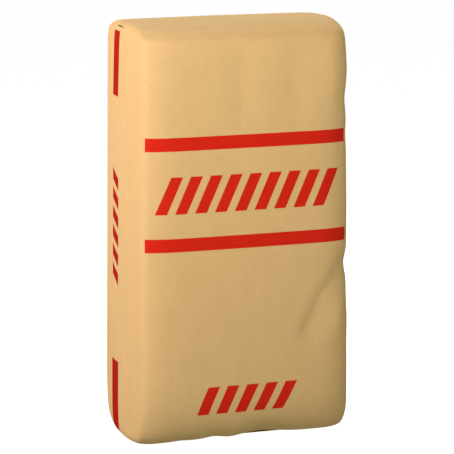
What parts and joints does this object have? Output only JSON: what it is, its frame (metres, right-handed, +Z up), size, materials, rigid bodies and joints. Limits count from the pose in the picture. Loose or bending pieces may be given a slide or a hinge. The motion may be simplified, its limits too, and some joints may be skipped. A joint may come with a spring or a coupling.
{
  "type": "cement bag",
  "caption": "Filled upright paper sack of cement with pasted flat ends, soft rounded edges and a creased lower front.",
  "frame": {"origin": "on the floor, under the middle of the standing bag", "axes": "+Z up along the bag's height, -Y out of the printed front, -X out of the narrow side at the valve's corner"},
  "size_m": [0.2711, 0.169, 0.4904],
  "materials": {
    "kraft_paper": "matte",
    "sheet_paper": "matte"
  },
  "bodies": {
    "root": {"sack_body": "kraft_paper", "top_cover_sheet": "sheet_paper", "bottom_cover_sheet": "sheet_paper"}
  },
  "joints": []
}
